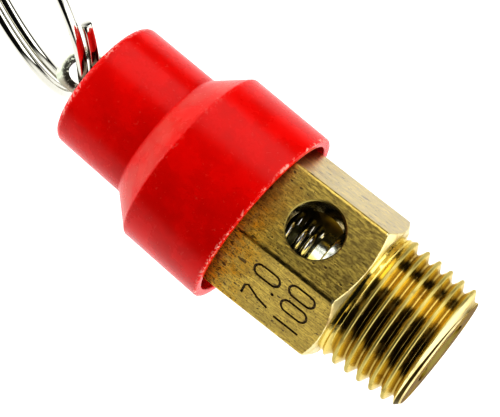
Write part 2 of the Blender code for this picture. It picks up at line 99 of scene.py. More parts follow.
# ---------------------------------------------------------------- settings


def length(name, text, millimetres):
    return FloatProperty(name=name, description=text, default=millimetres * MM, unit="LENGTH", precision=5)


def angle(name, text, degrees):
    return FloatProperty(name=name, description=text, default=math.radians(degrees), subtype="ANGLE")


def power(name, text, watts):
    return FloatProperty(name=name, description=text, default=watts, min=0)


def colour(name, text, *linear):
    return FloatVectorProperty(name=name, description=text, default=linear, subtype="COLOR", min=0, max=1)


class BodySettings(bpy.types.PropertyGroup):
    """Sizes of the brass body."""

    across_flats: length("Across flats", "Hex size", ACROSS_FLATS / MM)
    corner_radius: length("Corner radius", "Rounding of the drawn bar's long edges", 0.4)
    edge_softness: length("Edge softness", "How wide the machined edges are rounded", 0.12)
    top_face_radius: length("Top face radius", "Where the chamfer meets the top face", 6.75)
    shoulder_radius: length("Shoulder radius", "Where the chamfer meets the shoulder face", 6.9)
    pitch: length("Thread pitch", "Pitch of the R 1/4 taper thread", 1.337)
    thread_depth: length("Thread depth", "Crest to root", 0.856)
    gauge_radius: length("Gauge radius", "Half the major diameter at the gauge plane", 13.157 / 2)
    gauge_length: length("Gauge length", "From the thread's end to the gauge plane", 6.0)
    first_crest: length("First crest", "Height of a crest at the front", -1.54)
    neck_radius: length("Neck radius", "Plain neck under the shoulder", 6.25)
    neck_length: length("Neck length", "Length of the plain neck", 0.45)
    run_out: length("Run-out", "Length in which the thread fades out under the neck", 1.1)
    lead_chamfer: length("Lead chamfer", "Chamfer at the start of the thread", 0.7)
    inlet_radius: length("Inlet radius", "Bore under the seat", 2.75)
    vent_radius: length("Vent radius", "Radius of the two vent holes", 2.68)
    vent_height: length("Vent height", "Height of the vent holes over the shoulder", 5.85)
    vent_offset: length("Vent offset", "How far the drill ran off the middle of the flat", 0.2)


class MarkSettings(bpy.types.PropertyGroup):
    """The plain numbers engraved beside the vent."""

    upper: StringProperty(name="Upper row", description="Numbers nearest the cap", default="7.0")
    lower: StringProperty(name="Lower row", description="Numbers nearest the thread", default="100")
    height: length("Height", "Height of a digit", 2.75)
    stroke: length("Stroke radius", "Radius of the engraving cutter", 0.13)
    upper_base: length("Upper base", "Height of the upper row's base over the shoulder", 5.5)
    lower_base: length("Lower base", "Height of the lower row's base over the shoulder", 1.85)


class CapSettings(bpy.types.PropertyGroup):
    """Sizes of the loose plastic cap."""

    wall: length("Wall", "Wall thickness", 0.9)
    mouth_height: length("Mouth height", "Height of the open end", 11.16)
    mouth_radius: length("Mouth radius", "Outer radius at the open end", 9.3)
    skirt_top: length("Skirt top", "Where the skirt turns into the cone", 19.92)
    skirt_top_radius: length("Skirt top radius", "Outer radius there", 9.24)
    neck_bottom: length("Neck bottom", "Where the cone turns into the neck", 22.83)
    neck_radius: length("Neck radius", "Outer radius there", 6.7)
    top: length("Top", "Height of the closed end", 31.0)
    top_radius: length("Top radius", "Outer radius at the closed end", 6.62)
    top_fillet: length("Top fillet", "Rounding of the closed end", 0.8)
    hole_radius: length("Hole radius", "Hole for the stem", 3.4)


class RingSettings(bpy.types.PropertyGroup):
    """Sizes of the split pull ring."""

    mean_radius: length("Mean radius", "Radius to the middle of the wire", 11.9)
    wire_radius: length("Wire radius", "Half the wire's thickness", 0.525)
    spacing: length("Turn spacing", "Middle to middle of the two turns", 1.22)
    end_spring: length("End spring", "How far the free end springs away from the turn beside it", 0.12)
    lean: angle("Lean", "How far the ring lies over to one side", 18)
    seat: length("Seat", "How far under the middle of the eye hole the wire lies", 0.6)


class StemSettings(bpy.types.PropertyGroup):
    """Sizes of the lift stem and its forged eye."""

    radius: length("Radius", "Radius of the rod", 1.25)
    foot_radius: length("Foot radius", "Radius of the riveted foot", 0.85)
    rivet_radius: length("Rivet radius", "Radius of the rivet head", 1.4)
    guide_radius: length("Guide radius", "Hole for the stem in the plugs and the upper washer", 1.55)
    turn: angle("Turn", "How far the eye is turned about the stem", 8)
    eye_offset: length("Eye offset", "How far the forging pushed the eye aside", 0.35)
    eye_half_width: length("Eye half width", "Half the width of the eye", 2.4)
    eye_thickness: length("Eye thickness", "Thickness of the eye", 1.3)
    eye_top: length("Eye top", "Height of the eye's blunt end", 35.1)
    eye_corner: length("Eye corner", "Rounding of the blunt end", 1.5)
    eye_hole: length("Eye hole", "Radius of the hole for the ring", 1.5)


class SpringSettings(bpy.types.PropertyGroup):
    """Sizes of the relief spring."""

    mean_radius: length("Mean radius", "Radius to the middle of the wire", 2.25)
    wire_radius: length("Wire radius", "Half the wire's thickness", 0.4)
    end_pitch: length("End pitch", "Pitch of the closed end turns", 0.9)
    active_turns: IntProperty(name="Active turns", description="Open turns between the ends", default=5)
    start_angle: angle("Start angle", "Where the wire's lower end lies", -129)


class FinishSettings(bpy.types.PropertyGroup):
    """Base colours of the materials."""

    drawn_brass: colour("Drawn brass", "Flats of the hex", 0.70, 0.53, 0.12)
    turned_brass: colour("Turned brass", "Thread and bores", 0.77, 0.63, 0.22)
    pale_brass: colour("Pale brass", "Satin brass of the chamfers", 0.76, 0.69, 0.45)
    tarnish: colour("Tarnish", "Brown stain on the brass", 0.40, 0.19, 0.03)
    stain: colour("Stain", "Orange stain on the flats next to the cap", 0.95, 0.54, 0.04)
    red_plastic: colour("Red plastic", "The cap", 0.82, 0.003, 0.0003)
    chrome: colour("Chrome", "The pull ring", 0.66, 0.65, 0.58)
    steel: colour("Steel", "Washers and spring", 0.72, 0.71, 0.67)
    forged: colour("Forged steel", "The stem", 0.88, 0.94, 0.76)
    nickel: colour("Nickel", "The disc", 0.74, 0.76, 0.66)
    rubber: colour("Rubber", "The seat seal", 0.02, 0.02, 0.022)


class StudioSettings(bpy.types.PropertyGroup):
    """Lights and floor."""

    key_power: power("Key light", "Power of the softbox on the right", 0.6)
    top_power: power("Top light", "Power of the softbox overhead", 0.021)
    glint_power: power("Glint light", "Power of the small light in front", 0.12)
    glow_power: power("Floor glow", "Power of the light from below", 0.05)
    sky_strength: power("Tent", "Brightness of the light tent", 1.0)
    floor_colour: colour("Floor", "The pale floor", 0.9, 0.9, 0.9)
    floor_radius: length("Floor radius", "Radius of the floor", 120)
    floor_drop: length("Floor drop", "How far under the thread's end the floor lies", 50)


class ValveSettings(bpy.types.PropertyGroup):
    """All the settings of the valve."""

    body: PointerProperty(type=BodySettings)
    marks: PointerProperty(type=MarkSettings)
    cap: PointerProperty(type=CapSettings)
    ring: PointerProperty(type=RingSettings)
    stem: PointerProperty(type=StemSettings)
    spring: PointerProperty(type=SpringSettings)
    finish: PointerProperty(type=FinishSettings)
    studio: PointerProperty(type=StudioSettings)


# ---------------------------------------------------------------- mesh helpers


def clamp(value):
    """Keeps a number between 0 and 1."""
    return min(max(value, 0), 1)


def ease(value):
    """Smooth from 0 at 0 to 1 at 1."""
    value = clamp(value)
    return value * value * (3 - 2 * value)


def arc(centre, radius, start, end, segments):
    """Points of an arc in the profile plane, as (r, z), with angles in degrees."""
    step = (end - start) / segments
    angles = [math.radians(start + step * i) for i in range(segments + 1)]
    return [(centre[0] + radius * math.cos(a), centre[1] + radius * math.sin(a)) for a in angles]


def fillet(corner, before, after, radius, segments):
    """Points that round a profile's corner with an arc tangent to both sides."""
    corner, before, after = Vector(corner), Vector(before), Vector(after)
    to_before = (before - corner).normalized()
    to_after = (after - corner).normalized()
    half_angle = to_before.angle(to_after) / 2
    centre = corner + (to_before + to_after).normalized() * radius / math.sin(half_angle)
    reach = radius / math.tan(half_angle)
    start = corner + to_before * reach - centre
    end = corner + to_after * reach - centre
    turn = start.angle_signed(end)
    return [tuple(centre + Matrix.Rotation(-turn * i / segments, 2) @ start) for i in range(segments + 1)]


def rounded(corners, segments=5):
    """Profile points from corners given as (r, z) or (r, z, fillet radius)."""
    points = []
    for i, corner in enumerate(corners):
        if len(corner) == 3:
            after = corners[(i + 1) % len(corners)]
            points += fillet(corner[:2], corners[i - 1][:2], after[:2], corner[2], segments)
        else:
            points.append(corner)
    return points


def spin(shape, geometry, steps, rise=0.0):
    """Spins geometry once about Z. A rise at each step makes it a screw, whose ends don't meet."""
    bmesh.ops.spin(
        shape,
        geom=geometry,
        cent=(0, 0, 0),
        axis=(0, 0, 1),
        dvec=(0, 0, rise),
        angle=2 * math.pi,
        steps=steps,
        use_merge=not rise,
        use_duplicate=False,
    )


def spun_profile(profile, steps, closed, rise=0.0, merge=1e-7):
    """The surface that a profile of (r, z) points makes when it is spun."""
    shape = bmesh.new()
    points = [shape.verts.new((r, 0, z)) for r, z in profile]
    ends = points[1:] + points[:1] if closed else points[1:]
    edges = [shape.edges.new(pair) for pair in zip(points, ends)]
    spin(shape, points + edges, steps, rise)
    bmesh.ops.remove_doubles(shape, verts=shape.verts, dist=merge)
    return shape


def face_outwards(shape):
    bmesh.ops.recalc_face_normals(shape, faces=shape.faces)
    return shape


def turned(profile, steps=96, closed=True):
    """A body of revolution about Z. An open profile starts and ends on the axis."""
    return face_outwards(spun_profile(profile, steps, closed))


def frames_along(path):
    """A matrix at each point of a path, whose Z follows the path without twisting."""
    frames = []
    turn = None
    for i, point in enumerate(path):
        ahead = path[min(i + 1, len(path) - 1)]
        behind = path[max(i - 1, 0)]
        direction = (ahead - behind).normalized()
        if turn is None:
            turn = direction.to_track_quat("Z", "Y")
        else:
            turn = (turn @ UP).rotation_difference(direction) @ turn
        frames.append(Matrix.Translation(point) @ turn.to_matrix().to_4x4())
    return frames


def extruded(shape, face):
    """Grows a wall from a face's edges, and returns the face that then closes it."""
    grown = bmesh.ops.extrude_face_region(shape, geom=[face, *face.edges, *face.verts])["geom"]
    return next(part for part in grown if isinstance(part, bmesh.types.BMFace))


def swept_wire(shape, path, radius, sides):
    """Extrudes a round section along a path, and returns its two end faces."""
    frames = frames_along(path)
    made = bmesh.ops.create_circle(shape, cap_ends=True, segments=sides, radius=radius, matrix=frames[0])
    first = made["verts"][0].link_faces[0]
    tip = first
    for before, after in zip(frames, frames[1:]):
        tip = extruded(shape, tip)
        bmesh.ops.transform(shape, matrix=after @ before.inverted(), verts=tip.verts)
    return first, tip


def smooth(mesh, sharp):
    """Smooth shading, except where faces meet at more than an angle in degrees."""
    mesh.shade_smooth()
    mesh.set_sharp_from_angle(angle=math.radians(sharp))


def piece(name, shape, materials, sharp=35):
    """Makes an object from a bmesh."""
    mesh = bpy.data.meshes.new(name)
    shape.to_mesh(mesh)
    shape.free()
    for material in materials:
        mesh.materials.append(material)
    obj = bpy.data.objects.new(name, mesh)
    bpy.context.scene.collection.objects.link(obj)
    smooth(mesh, sharp)
    return obj


def combine(obj, operation, shape, materials, sharp=35):
    """Cuts a shape from obj or joins it on. The new faces take the shape's own materials."""
    tool = piece("tool", shape, materials)
    boolean = obj.modifiers.new("combine", "BOOLEAN")
    boolean.operation = operation
    boolean.object = tool
    boolean.solver = "EXACT"
    boolean.material_mode = "TRANSFER"
    bpy.context.view_layer.update()
    evaluated = obj.evaluated_get(bpy.context.evaluated_depsgraph_get())
    mesh = bpy.data.meshes.new_from_object(evaluated)
    mesh.name = obj.name
    obj.modifiers.clear()
    obj.data = mesh
    bpy.data.objects.remove(tool)
    smooth(mesh, sharp)


def stand_for(obj, node, body):
    """obj is the finished form of a CAD node, and moves with that node's body."""
    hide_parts(node)
    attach(obj, body)


# ---------------------------------------------------------------- material helpers


class Field:
    """A value that changes over a surface. Arithmetic on it adds Math nodes to its own tree."""

    def __init__(self, socket):
        self.socket = socket

    def __add__(self, other):
        return math_field("ADD", self, other)

    def __sub__(self, other):
        return math_field("SUBTRACT", self, other)

    def __rsub__(self, other):
        return math_field("SUBTRACT", other, self)

    def __mul__(self, other):
        return math_field("MULTIPLY", self, other)

    def __pow__(self, other):
        return math_field("POWER", self, other)

    def __abs__(self):
        return math_field("ABSOLUTE", self, 0)

    __radd__ = __add__
    __rmul__ = __mul__


def feed(socket, value):
    """Links a field to a socket, or sets the socket to a value."""
    if isinstance(value, Field):
        socket.id_data.links.new(value.socket, socket)
    elif socket.type == "RGBA":
        socket.default_value = (*value[:3], 1)
    else:
        socket.default_value = value


def add_node(kind, inputs, output=0, **settings):
    """Adds a node to the tree of the fields among its inputs, and returns the field that it puts out."""
    tree = next(value.socket.id_data for value in inputs.values() if isinstance(value, Field))
    node = tree.nodes.new(kind)
    for name, value in settings.items():
        setattr(node, name, value)
    for name, value in inputs.items():
        feed(node.inputs[name], value)
    return Field(node.outputs[output])


def math_field(operation, first, second):
    return add_node("ShaderNodeMath", {0: first, 1: second}, operation=operation)


def clamped(result):
    """Keeps what a Math node puts out between 0 and 1."""
    result.socket.node.use_clamp = True
    return result


def vector_field(operation, first, second=(0, 0, 0), output="Value"):
    return add_node("ShaderNodeVectorMath", {0: first, 1: second}, output, operation=operation)


def split(vector):
    """The fields of a vector's X, Y and Z."""
    first = add_node("ShaderNodeSeparateXYZ", {0: vector})
    return [Field(output) for output in first.socket.node.outputs]


def off_axis(x, y):
    """How far a surface lies from the Z axis."""
    return vector_field("LENGTH", add_node("ShaderNodeCombineXYZ", {0: x, 1: y}))


def smooth_step(value, low, high):
    """0 at low and beyond, 1 at high and beyond, smooth between."""
    inputs = {"Value": value, "From Min": low, "From Max": high}
    return add_node("ShaderNodeMapRange", inputs, interpolation_type="SMOOTHSTEP")


def noise_field(vector, scale, detail=2.0, roughness=0.5, distortion=0.0):
    inputs = {"Vector": vector, "Scale": scale, "Detail": detail, "Roughness": roughness}
    return add_node("ShaderNodeTexNoise", {**inputs, "Distortion": distortion}, "Fac")


def noise_patches(vector, scale, detail, roughness, low, high):
    """Noise with its contrast raised, from 0 where it is under low to 1 where it is over high."""
    return smooth_step(noise_field(vector, scale, detail, roughness), low, high)


def stretched(vector, along):
    """Coordinates for marks that run along Z."""
    return add_node("ShaderNodeMapping", {"Vector": vector, "Scale": (1, 1, along)})


def mix_colour(share, first, second):
    return add_node("ShaderNodeMix", {0: share, 6: first, 7: second}, 2, data_type="RGBA")


def layered(base, *layers):
    """A colour with others laid over it, each given as its share and its colour."""
    for share, over in layers:
        base = mix_colour(share, base, over)
    return base


def shared_effect(recipe, vector, name, number):
    """Places an effect in a material, as fields by name. Its node group is built once, from its recipe."""
    group = bpy.data.node_groups.get(recipe.__name__)
    if group is None:
        group = bpy.data.node_groups.new(recipe.__name__, "ShaderNodeTree")
        group.interface.new_socket("Vector", in_out="INPUT", socket_type="NodeSocketVector")
        group.interface.new_socket(name, in_out="INPUT", socket_type="NodeSocketFloat")
        given = group.nodes.new("NodeGroupInput").outputs
        made = recipe(Field(given[0]), Field(given[1]))
        for output in made:
            group.interface.new_socket(output, in_out="OUTPUT", socket_type="NodeSocketFloat")
        result = group.nodes.new("NodeGroupOutput")
        for output, value in made.items():
            feed(result.inputs[output], value)
    node = vector.socket.id_data.nodes.new("ShaderNodeGroup")
    node.node_tree = group
    feed(node.inputs["Vector"], vector)
    feed(node.inputs[name], number)
    return {output.name: Field(output) for output in node.outputs}


def drive(material, **sockets):
    """Links fields to sockets of a material's shader, or sets them to steady values."""
    shader = material.node_tree.nodes["Principled BSDF"]
    for name, value in sockets.items():
        feed(shader.inputs[name.replace("_", " ")], value)


def driver_of(material, name):
    """The field that a socket of a material's shader already has."""
    shader = material.node_tree.nodes["Principled BSDF"]
    return Field(shader.inputs[name].links[0].from_socket)


def coordinates(material):
    return Field(material.node_tree.nodes.new("ShaderNodeTexCoord").outputs["Object"])


def start_material(name, base, roughness, metallic=1.0, **sockets):
    """A material with steady values on its shader's own sockets, and its coordinates."""
    material = bpy.data.materials.new(name)
    material.use_nodes = True
    drive(material, Base_Color=base, Roughness=roughness, Metallic=metallic, **sockets)
    return material, coordinates(material)


def add_bump(material, height, distance, strength):
    bump = add_node("ShaderNodeBump", {"Height": height, "Distance": distance, "Strength": strength})
    drive(material, Normal=bump)


# ---------------------------------------------------------------- shared surface effects


def drawing_marks(vector, pit_share):
    """Fine lines along Z, as a die leaves on drawn bar, with grain and scattered pits."""
    fine = noise_field(stretched(vector, 0.025), 9000)
    broad = noise_field(stretched(vector, 0.05), 2200, 3)
    lines = fine * 0.6 + broad * 0.4
    threshold = 0.82 - pit_share * 0.3
    pits = noise_patches(stretched(vector, 0.6), 2300, 1.5, 0.4, threshold, threshold + 0.05)
    grain = noise_field(stretched(vector, 0.25), 5600, 3, 0.6)
    blotches = noise_field(vector, 420, 5, 0.6, 0.4)
    height = lines * 0.6 - pits + grain * 0.5
    return {"Lines": lines, "Pits": pits, "Blotches": blotches, "Grain": grain, "Height": height}


def turning_marks(vector, ring_scale):
    """Rings about Z, as a lathe tool leaves, with small nicks."""
    x, y, z = split(vector)
    section = add_node("ShaderNodeCombineXYZ", {0: off_axis(x, y), 1: z})
    rings = noise_field(section, ring_scale)
    nicks = noise_patches(vector, 1500, 2, 0.5, 0.68, 0.74)
    return {"Rings": rings, "Nicks": nicks, "Height": rings * 0.5 - nicks}


def scuffs(vector, scale):
    """Soft blotches, thin scratches and fine grain of a handled surface."""
    inputs = {"Vector": vector, "Rotation": (0.6, 0.4, 0.9), "Scale": (1, 0.06, 1)}
    slanted = add_node("ShaderNodeMapping", inputs)
    blotches = noise_field(vector, scale, 4, 0.55)
    scratches = smooth_step(noise_field(slanted, scale * 8, 2, 0.5, 0.2), 0.66, 0.72)
    return {"Blotches": blotches, "Scratches": scratches, "Grain": noise_field(vector, scale * 40)}


# ---------------------------------------------------------------- materials


def drawn_brass(finish, cap_mouth):
    """The satin flats of the hex: die lines, grain, pits, and an orange stain next to the cap."""
    base = Vector(finish.drawn_brass)
    material, vector = start_material("drawn_brass", base, 0.36, Coat_Weight=0.4, Coat_Roughness=0.4)
    marks = shared_effect(drawing_marks, vector, "Pit Share", 0.5)
    x, _, z = split(vector)
    near_cap = smooth_step(z, cap_mouth - 5 * MM, cap_mouth + 1 * MM)
    handled = smooth_step(x, 6 * MM, -5 * MM)
    blotches = smooth_step(marks["Blotches"], 0.38, 0.6)
    patches = (blotches + noise_patches(vector, 1100, 4, 0.65, 0.42, 0.6)) * 0.6 + 0.25
    stain = clamped(near_cap * (patches * (handled * 0.7 + 0.4)))
    stain_colour = mix_colour(handled**3, Vector(finish.tarnish) * 1.2, finish.stain)
    grain = smooth_step(marks["Grain"], 0.36, 0.64)
    specks = smooth_step(noise_field(vector, 5600) + near_cap * 0.05, 0.6, 0.68)
    toned = layered(
        mix_colour(smooth_step(marks["Lines"], 0.35, 0.65), base * 0.72, base * 1.1),
        (blotches * 0.45, (0.40, 0.31, 0.07)),
        (stain * 0.75, stain_colour),
        ((1 - grain) * 0.65, (0.22, 0.14, 0.035)),
        (specks * (handled * 0.5 + 0.3), (0.10, 0.06, 0.02)),
        (marks["Pits"] * 0.8, (0.08, 0.05, 0.02)),
    )
    film = 0.9 - (stain + handled) * 0.45
    drive(material, Base_Color=toned, Roughness=grain * 0.12 + stain * 0.25 + 0.28, Coat_Weight=film)
    add_bump(material, marks["Height"], 0.02 * MM, 0.7)
    return material


def turned_brass(finish, name="turned_brass", roughness=0.14, dirt=0.25, shade=1.0, pale=0.0):
    """Brass off the lathe tool, with rings and a few nicks."""
    # A shade under 1 darkens the base colour and the tarnish: painted shade.
    base = Vector(finish.turned_brass).lerp(Vector(finish.pale_brass), pale) * shade
    material, vector = start_material(name, base, roughness)
    marks = shared_effect(turning_marks, vector, "Ring Scale", 9000)
    dirty = smooth_step(shared_effect(scuffs, vector, "Scale", 500)["Blotches"], 0.5, 0.75) * dirt
    toned = layered(
        base,
        (dirty, Vector(finish.tarnish) * shade),
        (marks["Nicks"] * 0.5, (0.3, 0.18, 0.05)),
    )
    drive(material, Base_Color=toned, Roughness=marks["Rings"] * 0.1 + dirty + (roughness - 0.04))
    add_bump(material, marks["Height"], 0.01 * MM, 0.5)
    return material


def start_groove_shadow(x, z):
    """A dark line of painted shadow that narrows along the lead chamfer, in place of the shade in the
    half-cut groove where the thread starts.
    """
    middle = 0.22 * MM - x * 0.015
    width = 0.03 * MM - x * 0.018
    line = smooth_step(abs(z - THREAD_END - middle) - width, 0.05 * MM, 0)
    return line * smooth_step(x, 3.5 * MM, 1.5 * MM)


def thread_brass(finish, body):
    """Turned brass with painted shade deep in the thread's grooves, a painted shadow line, dull crests and a
    satin lead chamfer.
    """
    material = turned_brass(finish, "thread_brass", 0.16, 0.35)
    x, y, z = split(coordinates(material))
    depth = (z - (THREAD_END + body.gauge_length)) * TAPER + body.gauge_radius - off_axis(x, y)
    under_neck = smooth_step(z, -body.neck_length, -body.neck_length - 0.4 * MM)
    crest = smooth_step(depth, 0.22 * MM, 0.06 * MM)
    lead = smooth_step(z, THREAD_END + 0.9 * MM, THREAD_END + 0.6 * MM)
    toned = layered(
        driver_of(material, "Base Color"),
        # Darker deep in the grooves below the neck: painted shade.
        (smooth_step(depth, 0.2 * MM, 0.8 * MM) * under_neck * 0.6, (0.25, 0.15, 0.04)),
        (crest * 0.65, (0.38, 0.33, 0.13)),
        (lead * 0.55, finish.pale_brass),
        (start_groove_shadow(x, z), (0.03, 0.02, 0.005)),
    )
    rough = driver_of(material, "Roughness") + math_field("MAXIMUM", crest, lead) * 0.2
    drive(material, Base_Color=toned, Roughness=rough, Specular_Tint=(0.85, 0.78, 0.6))
    return material


def shaded_brass(finish, name, dirt, shade):
    """Turned brass with its base colour darkened and its reflection tinted dim: painted shade for surfaces
    that lie in shadow.
    """
    material = turned_brass(finish, name, 0.3, dirt, shade)
    drive(material, Specular_Tint=(0.12, 0.05, 0.02))
    return material


def dark_engraving():
    """Dark colour at the bottom of the engraving."""
    material, vector = start_material("dark_engraving", (0.09, 0.06, 0.02), 0.5, 0.5)
    grain = noise_patches(vector, 4000, 2, 0.5, 0.4, 0.7)
    drive(material, Base_Color=mix_colour(grain, (0.05, 0.03, 0.01), (0.2, 0.13, 0.04)))
    return material


def red_plastic(finish, cap):
    """Glossy moulded plastic, with pale chips at its rims that are partly painted glints, and a pale painted
    sheen on its cone.
    """
    red = Vector(finish.red_plastic)
    steady = {"Specular_IOR_Level": 0.2, "Subsurface_Weight": 0.15, "Subsurface_Scale": 0.8 * MM, "IOR": 1.5}
    material, vector = start_material(
        "moulded_plastic", red, 0.3, 0.0, Subsurface_Radius=(1.0, 0.05, 0.03), **steady
    )
    worn = shared_effect(scuffs, vector, "Scale", 350)
    from_pivot = vector_field("SUBTRACT", vector, CAP_PIVOT, "Vector")
    height = vector_field("DOT_PRODUCT", from_pivot, CAP_AXIS) + CAP_PIVOT.z
    radius = vector_field("DISTANCE", from_pivot, vector_field("PROJECT", from_pivot, CAP_AXIS, "Vector"))
    above_skirt = smooth_step(height, cap.skirt_top, cap.skirt_top + 0.3 * MM)
    below_neck = smooth_step(height, cap.neck_bottom, cap.neck_bottom - 0.4 * MM)
    # A pale band on the cone between the skirt and the neck: painted sheen.
    painted_cone_sheen = above_skirt * below_neck * (noise_patches(vector, 260, 4, 0.6, 0.4, 0.62) * 0.25 + 0.1)
    patches = noise_patches(vector, 330, 2, 0.5, 0.42, 0.58)
    nicks = clamped(noise_patches(vector, 2800, 3, 0.6, 0.51, 0.6) * (patches + 0.3))
    toned = layered(
        mix_colour(smooth_step(worn["Blotches"], 0.35, 0.65), (red.x * 0.86, red.y, red.z), red),
        (worn["Scratches"] * 0.12, (0.9, 0.25, 0.2)),
        (painted_cone_sheen, (0.75, 0.2, 0.15)),
    )
    top_inset = 0.3 * MM
    edges = (
        (cap.mouth_height, cap.mouth_radius, 0.75),
        (cap.skirt_top, cap.skirt_top_radius, 0.12),
        (cap.top - top_inset, cap.top_radius - top_inset, 0.65),
    )
    # Pale chips along the mouth, the skirt's top and the closed end: partly wear, partly painted glints on
    # these rims.
    for edge_height, edge_radius, share in edges:
        away = math_field("MAXIMUM", abs(height - edge_height), abs(radius - edge_radius))
        near = smooth_step(away, 0.38 * MM, 0.15 * MM)
        toned = mix_colour(near * nicks * share, toned, (1.0, 0.5, 0.42))
    rough = worn["Blotches"] * 0.14 + worn["Scratches"] * 0.15 + 0.2
    drive(material, Base_Color=toned, Roughness=rough)
    add_bump(material, worn["Grain"], 0.002 * MM, 0.4)
    return material


def bright_steel(name, base, roughness, dirt=0.15):
    """Drawn or plated metal with faint scratches."""
    material, vector = start_material(name, base, roughness)
    worn = shared_effect(scuffs, vector, "Scale", 600)
    dirty = smooth_step(worn["Blotches"], 0.5, 0.8) * dirt
    rough = worn["Scratches"] * 0.15 + dirty + roughness
    drive(material, Base_Color=mix_colour(dirty, base, (0.25, 0.20, 0.12)), Roughness=rough)
    add_bump(material, worn["Grain"], 0.003 * MM, 0.4)
    return material


def forged_steel(finish):
    """Plated steel forged flat at the eye, with dark patches of painted shade round the hole."""
    material = bright_steel("forged_steel", finish.forged, 0.42, 0.2)
    vector = coordinates(material)
    # Dark patches round the eye's hole: painted shade.
    near_hole = smooth_step(vector_field("DISTANCE", vector, EYE_CENTRE), 2.3 * MM, 1.9 * MM)
    scale = near_hole * noise_patches(vector, 2600, 3, 0.6, 0.36, 0.48) * 0.95
    toned = mix_colour(scale, driver_of(material, "Base Color"), (0.03, 0.026, 0.015))
    drive(material, Base_Color=toned, Metallic=0.45)
    return material


def shaded_eye_wall():
    """The rough wall of the punched eye, painted dark as shade, with bare patches."""
    dark = (0.02, 0.018, 0.01)
    material, vector = start_material("shaded_eye_wall", dark, 0.5, 0.5)
    bare = noise_patches(vector, 3400, 3, 0.6, 0.58, 0.66)
    drive(material, Base_Color=mix_colour(bare, dark, (0.5, 0.5, 0.42)))
    add_bump(material, noise_field(vector, 3400), 0.05 * MM, 0.8)
    return material


def seal_rubber(finish):
    """Dull rubber with a fine grain."""
    material, vector = start_material("soft_rubber", finish.rubber, 0.6, 0.0)
    worn = shared_effect(scuffs, vector, "Scale", 900)
    drive(material, Base_Color=mix_colour(worn["Blotches"], finish.rubber, (0.05, 0.05, 0.05)))
    add_bump(material, worn["Grain"], 0.01 * MM, 0.5)
    return material


# ---------------------------------------------------------------- body


def soft_minimum(first, second, width):
    """The smaller of two values, rounded over a width where they meet."""
    overlap = max(width - abs(first - second), 0) / width
    return min(first, second) - overlap * overlap * width / 4


def hex_radius(direction, across_flats, corner_radius):
    """Distance from the axis to a hexagon with rounded corners, whose flats face -Y and +Y."""
    sixth = math.pi / 3
    from_flat = (direction - math.pi / 2 + sixth / 2) % sixth - sixth / 2
    from_corner = sixth / 2 - abs(from_flat)
    apothem = across_flats / 2
    arc_centre = (apothem - corner_radius) / math.cos(sixth / 2)
    arc_end = math.atan2(corner_radius * 0.5, arc_centre + corner_radius * math.cos(sixth / 2))
    if from_corner > arc_end:
        return apothem / math.cos(from_flat)
    across = arc_centre * math.sin(from_corner)
    return arc_centre * math.cos(from_corner) + math.sqrt(corner_radius**2 - across**2)


def chamfer_radius(height, body, cap):
    """Radius that the lathe tool leaves at a height: a cone over the shoulder and one under the top."""
    lower_slope = math.tan(math.radians(30))
    lower = body.shoulder_radius + height / lower_slope
    upper_slope = (cap.neck_bottom - cap.skirt_top) / (cap.skirt_top_radius - cap.neck_radius)
    upper = body.top_face_radius + (HEX_TOP - height) / upper_slope
    return min(lower, upper)


def hex_block(body, cap):
    """The hex bar between its chamfers. Steps crowd towards the corners, and rows towards the ends."""
    lower_rows = [0.05 * i for i in range(13)] + [0.8, 1.2, 2.5, 4.5, 7, 9.5, 12, 15, 18.5]
    rows = [height * MM for height in lower_rows] + [HEX_TOP - 0.1 * MM * i for i in range(13, -1, -1)]
    top_inner, shoulder_inner = 5.6 * MM, 6.4 * MM
    profile = [(0, HEX_TOP), (top_inner, HEX_TOP)]
    profile += [(body.across_flats / 2, height) for height in reversed(rows)]
    profile += [(shoulder_inner, 0), (0, 0)]
    shape = turned(profile, steps=252, closed=False)
    crowding = 0.8
    outside = 6.5 * MM
    for vert in shape.verts:
        if vert.co.xy.length < outside:
            continue
        even = math.atan2(vert.co.y, vert.co.x)
        direction = even - crowding / 6 * math.sin(6 * even)
        at_flat = hex_radius(direction, body.across_flats, body.corner_radius)
        at_chamfer = chamfer_radius(vert.co.z, body, cap)
        radius = soft_minimum(at_flat, at_chamfer, body.edge_softness)
        vert.co.xy = radius * math.cos(direction), radius * math.sin(direction)
    for face in shape.faces:
        middle = face.calc_center_median()
        flat = hex_radius(math.atan2(middle.y, middle.x), body.across_flats, body.corner_radius)
        face.material_index = int(middle.xy.length < flat - 0.01 * MM)
    return shape


def thread_form(pitch, depth, tip_radius, half_angle):
    """One pitch of a rounded thread, as (z, offset from the crest), from crest to crest."""
    reach = 90 - half_angle
    crest = [(z, x - tip_radius) for x, z in arc((0, 0), tip_radius, 0, reach, 4)]
    root = [(pitch / 2 + z, tip_radius - depth - x) for x, z in arc((0, 0), tip_radius, -reach, 0, 4)]
    half = crest + root
    return half + [(pitch - z, offset) for z, offset in reversed(half[:-1])]


